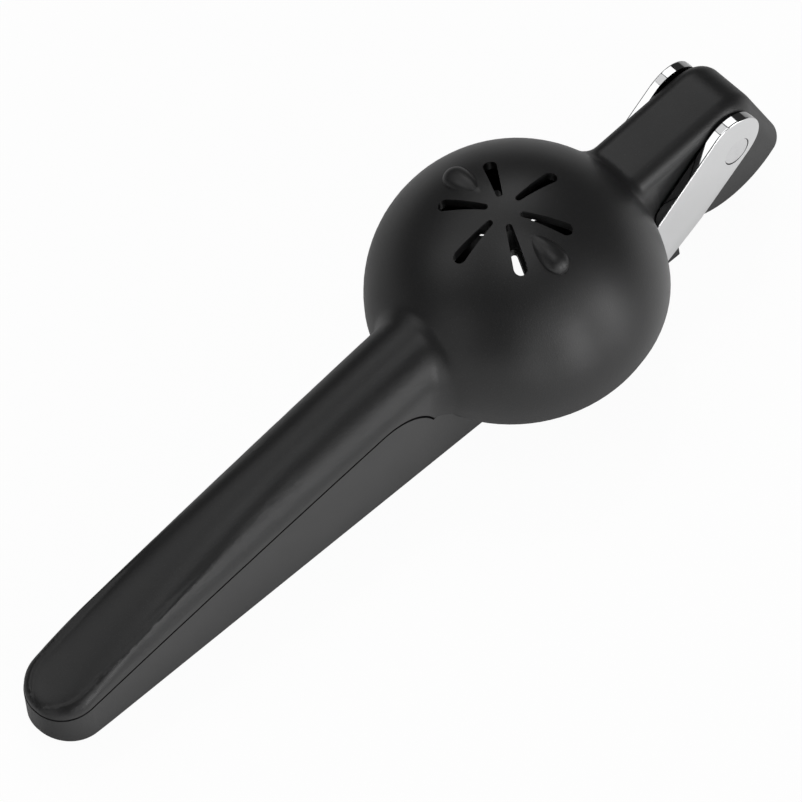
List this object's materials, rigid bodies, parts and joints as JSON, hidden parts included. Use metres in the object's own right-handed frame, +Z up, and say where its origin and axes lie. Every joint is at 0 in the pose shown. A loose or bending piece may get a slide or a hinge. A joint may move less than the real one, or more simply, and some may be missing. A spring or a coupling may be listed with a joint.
{
  "type": "citrus squeezer",
  "caption": "Hand-held lever citrus squeezer: slotted bowl half over a press half with a slotted dome, joined at a pinned hinge by chrome side arms.",
  "frame": {"origin": "on the surface that the closed tool rests on, under the middle of its length", "axes": "+X from the grips to the hinge, +Y to the left of a hand on the grips, +Z up through the bowl half"},
  "size_m": [0.2474, 0.076, 0.0589],
  "materials": {
    "black_nylon": "satin black moulded nylon",
    "chrome_arm": "polished chrome plate",
    "pin_steel": "fine turned steel",
    "bush_plastic": "smooth black acetal"
  },
  "bodies": {
    "press": {"press_half": "black_nylon", "left_hinge_arm": "chrome_arm", "right_hinge_arm": "chrome_arm", "hinge_pin": "pin_steel", "hinge_pin_cap": "pin_steel", "front_arm_rivet": "pin_steel", "rear_arm_rivet": "pin_steel"},
    "bowl": {"bowl_half": "black_nylon", "left_hinge_bush": "bush_plastic", "right_hinge_bush": "bush_plastic"}
  },
  "joints": [
    {"name": "squeeze_hinge", "type": "hinge", "parent": "press", "child": "bowl", "pos_m": [0.10537, 0, 0.02799], "axis": [0, 1, 0], "range_deg": [0, 110]}
  ]
}
